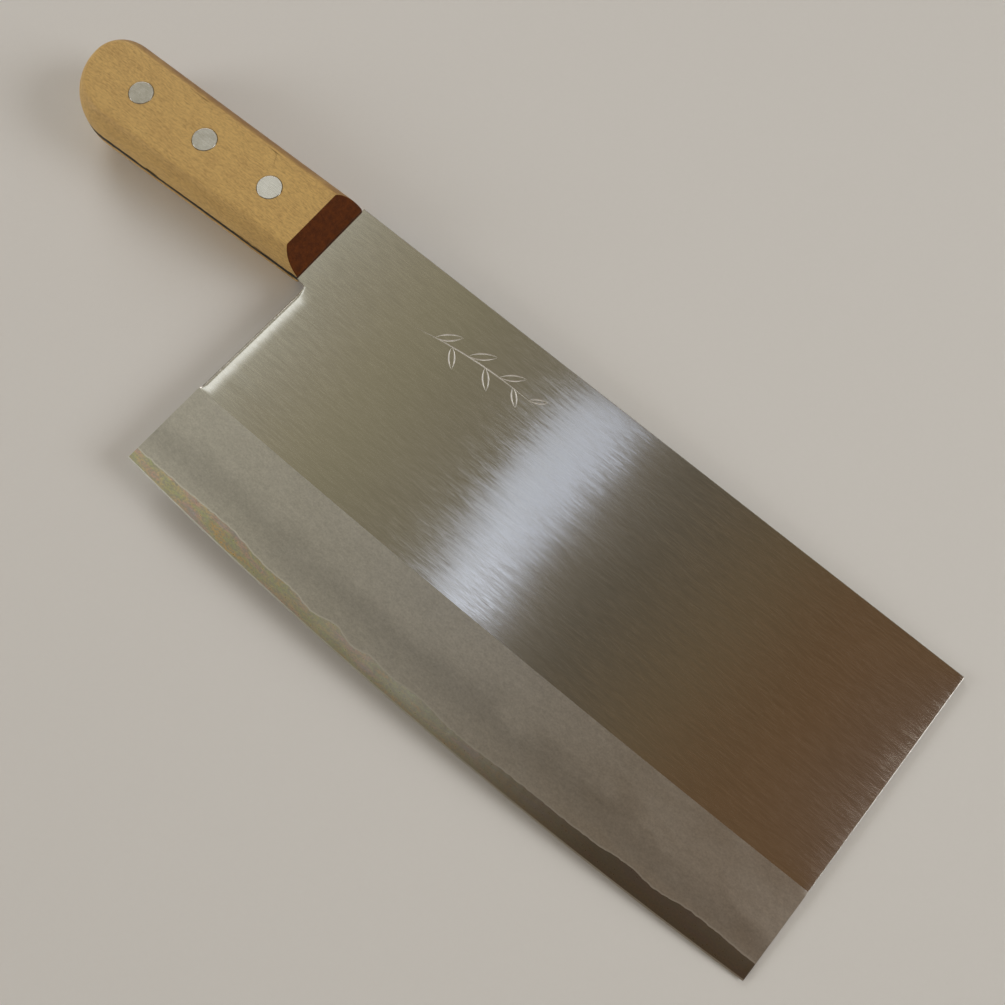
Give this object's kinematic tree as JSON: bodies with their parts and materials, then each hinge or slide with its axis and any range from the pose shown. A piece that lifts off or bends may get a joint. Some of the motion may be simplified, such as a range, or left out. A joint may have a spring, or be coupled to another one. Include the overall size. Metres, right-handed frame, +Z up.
{
  "type": "vegetable cleaver",
  "caption": "Rectangular kitchen cleaver with a thin laminated blade, a wide bevel, and a full tang between riveted wooden scales.",
  "frame": {"origin": "on the surface the cleaver lies on, below the middle of its bounding box", "axes": "+X from the handle to the blade's tip, +Y from the cutting edge to the spine, +Z up out of the right side as the cleaver lies on its left scale"},
  "size_m": [0.326, 0.1082, 0.02],
  "materials": {
    "core_steel": "hard high-carbon steel, finely stoned along the edge",
    "cladding_steel": "soft steel, brushed lengthwise on the flat and matte on the wide bevel",
    "scale_wood": "fine-grained honey-coloured hardwood, sanded smooth, darker end grain",
    "rivet_metal": "ground flush with the wood"
  },
  "bodies": {
    "root": {"core_steel": "core_steel", "right_cladding": "cladding_steel", "left_cladding": "cladding_steel", "right_scale": "scale_wood", "left_scale": "scale_wood", "rivet_stud_front": "rivet_metal", "rivet_stud_middle": "rivet_metal", "rivet_stud_rear": "rivet_metal", "rivet_sleeve_front": "rivet_metal", "rivet_sleeve_middle": "rivet_metal", "rivet_sleeve_rear": "rivet_metal"}
  },
  "joints": []
}
